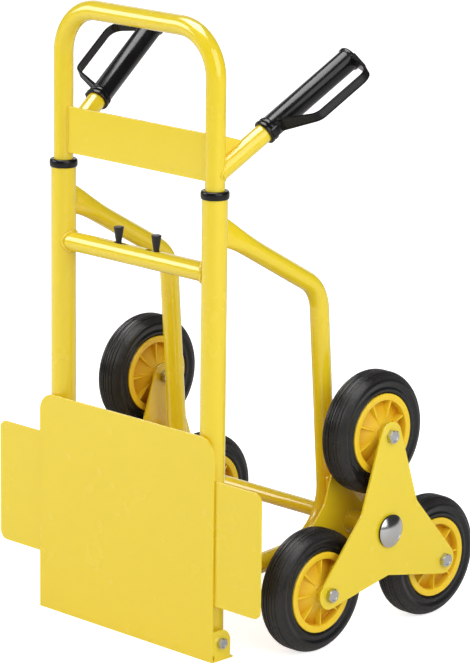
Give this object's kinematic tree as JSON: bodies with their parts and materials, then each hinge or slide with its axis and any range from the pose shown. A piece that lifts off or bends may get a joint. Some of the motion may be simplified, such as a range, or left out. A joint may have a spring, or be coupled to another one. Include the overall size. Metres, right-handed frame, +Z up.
{
  "type": "stair-climbing hand truck",
  "caption": "Folding stair-climbing hand truck: sliding handle loop, splayed rear grips, folding toe plate, bent side legs and a three-wheel star on each side.",
  "frame": {"origin": "on the floor under the heel of the folded toe plate, midway between the uprights and in the plane of their axes", "axes": "+Z up along the uprights, +Y towards the wheels and rear handles, +X to the right of someone who faces +Y"},
  "size_m": [0.5002, 0.4276, 0.8111],
  "materials": {
    "yellow_coat": "glossy powder coat on steel",
    "yellow_plastic": "moulded, satin gloss",
    "tyre_rubber": "solid ribbed rubber, satin",
    "black_grip": "glossy moulded",
    "black_plastic": "matt moulded",
    "zinc_steel": "zinc plated",
    "chrome_cap": "polished dome"
  },
  "bodies": {
    "frame": {"upright_left": "yellow_coat", "upright_right": "yellow_coat", "crossbar": "yellow_coat", "leg_left": "yellow_coat", "leg_right": "yellow_coat", "axle_tube": "yellow_coat", "axle_gussets": "yellow_coat", "axle_bosses": "yellow_coat", "axle_rod": "zinc_steel", "axle_washers": "zinc_steel", "axle_caps": "chrome_cap", "guard_plate": "yellow_coat", "collars": "black_grip", "upright_plugs": "black_plastic", "hinge_bolts": "zinc_steel", "hinge_spacers": "zinc_steel", "hinge_nuts": "zinc_steel", "spring_stop": "black_plastic", "lock_spring_left": "zinc_steel", "lock_spring_right": "zinc_steel"},
    "handle": {"handle_loop": "yellow_coat", "badge_plate": "yellow_coat", "rear_tube_left": "yellow_coat", "rear_tube_right": "yellow_coat", "handle_gussets": "yellow_coat", "grip_left": "black_grip", "grip_right": "black_grip", "slide_guides": "black_plastic"},
    "lock_left": {"knob_left": "black_plastic", "lock_rod_left": "zinc_steel"},
    "lock_right": {"knob_right": "black_plastic", "lock_rod_right": "zinc_steel"},
    "toe": {"toe_plate": "yellow_coat"},
    "star_left": {"star_outer_left": "yellow_coat", "star_inner_left": "yellow_coat", "star_hub_left": "yellow_coat", "wheel_bolts_left": "zinc_steel", "wheel_nuts_left": "zinc_steel", "wheel_sleeves_left": "zinc_steel", "wheel_spacers_left": "yellow_plastic"},
    "wheel_left_top": {"tyre_left_top": "tyre_rubber", "rim_left_top": "yellow_plastic"},
    "wheel_left_front": {"tyre_left_front": "tyre_rubber", "rim_left_front": "yellow_plastic"},
    "wheel_left_rear": {"tyre_left_rear": "tyre_rubber", "rim_left_rear": "yellow_plastic"},
    "star_right": {"star_outer_right": "yellow_coat", "star_inner_right": "yellow_coat", "star_hub_right": "yellow_coat", "wheel_bolts_right": "zinc_steel", "wheel_nuts_right": "zinc_steel", "wheel_sleeves_right": "zinc_steel", "wheel_spacers_right": "yellow_plastic"},
    "wheel_right_top": {"tyre_right_top": "tyre_rubber", "rim_right_top": "yellow_plastic"},
    "wheel_right_front": {"tyre_right_front": "tyre_rubber", "rim_right_front": "yellow_plastic"},
    "wheel_right_rear": {"tyre_right_rear": "tyre_rubber", "rim_right_rear": "yellow_plastic"}
  },
  "joints": [
    {"name": "handle_slide", "type": "slide", "parent": "frame", "child": "handle", "axis": [0, 0, 1], "range_m": [0, 0.38]},
    {"name": "lock_left_slide", "type": "slide", "parent": "frame", "child": "lock_left", "axis": [1, 0, 0], "range_m": [-0.003, 0.013], "stiffness_N_per_m": 800, "deforming": ["lock_spring_left"]},
    {"name": "lock_right_slide", "type": "slide", "parent": "frame", "child": "lock_right", "axis": [-1, 0, 0], "range_m": [-0.003, 0.013], "stiffness_N_per_m": 800, "deforming": ["lock_spring_right"]},
    {"name": "toe_hinge", "type": "hinge", "parent": "frame", "child": "toe", "pos_m": [0, -0.005, 0.0238], "axis": [1, 0, 0], "range_deg": [0, 90]},
    {"name": "star_left_spin", "type": "hinge", "parent": "frame", "child": "star_left", "pos_m": [-0.206, 0.2185, 0.1425], "axis": [1, 0, 0], "continuous": true},
    {"name": "wheel_left_top_spin", "type": "hinge", "parent": "star_left", "child": "wheel_left_top", "pos_m": [-0.206, 0.2185, 0.2675], "axis": [1, 0, 0], "continuous": true},
    {"name": "wheel_left_front_spin", "type": "hinge", "parent": "star_left", "child": "wheel_left_front", "pos_m": [-0.206, 0.11025, 0.08], "axis": [1, 0, 0], "continuous": true},
    {"name": "wheel_left_rear_spin", "type": "hinge", "parent": "star_left", "child": "wheel_left_rear", "pos_m": [-0.206, 0.32675, 0.08], "axis": [1, 0, 0], "continuous": true},
    {"name": "star_right_spin", "type": "hinge", "parent": "frame", "child": "star_right", "pos_m": [0.206, 0.2185, 0.1425], "axis": [1, 0, 0], "continuous": true},
    {"name": "wheel_right_top_spin", "type": "hinge", "parent": "star_right", "child": "wheel_right_top", "pos_m": [0.206, 0.2185, 0.2675], "axis": [1, 0, 0], "continuous": true},
    {"name": "wheel_right_front_spin", "type": "hinge", "parent": "star_right", "child": "wheel_right_front", "pos_m": [0.206, 0.11025, 0.08], "axis": [1, 0, 0], "continuous": true},
    {"name": "wheel_right_rear_spin", "type": "hinge", "parent": "star_right", "child": "wheel_right_rear", "pos_m": [0.206, 0.32675, 0.08], "axis": [1, 0, 0], "continuous": true}
  ]
}
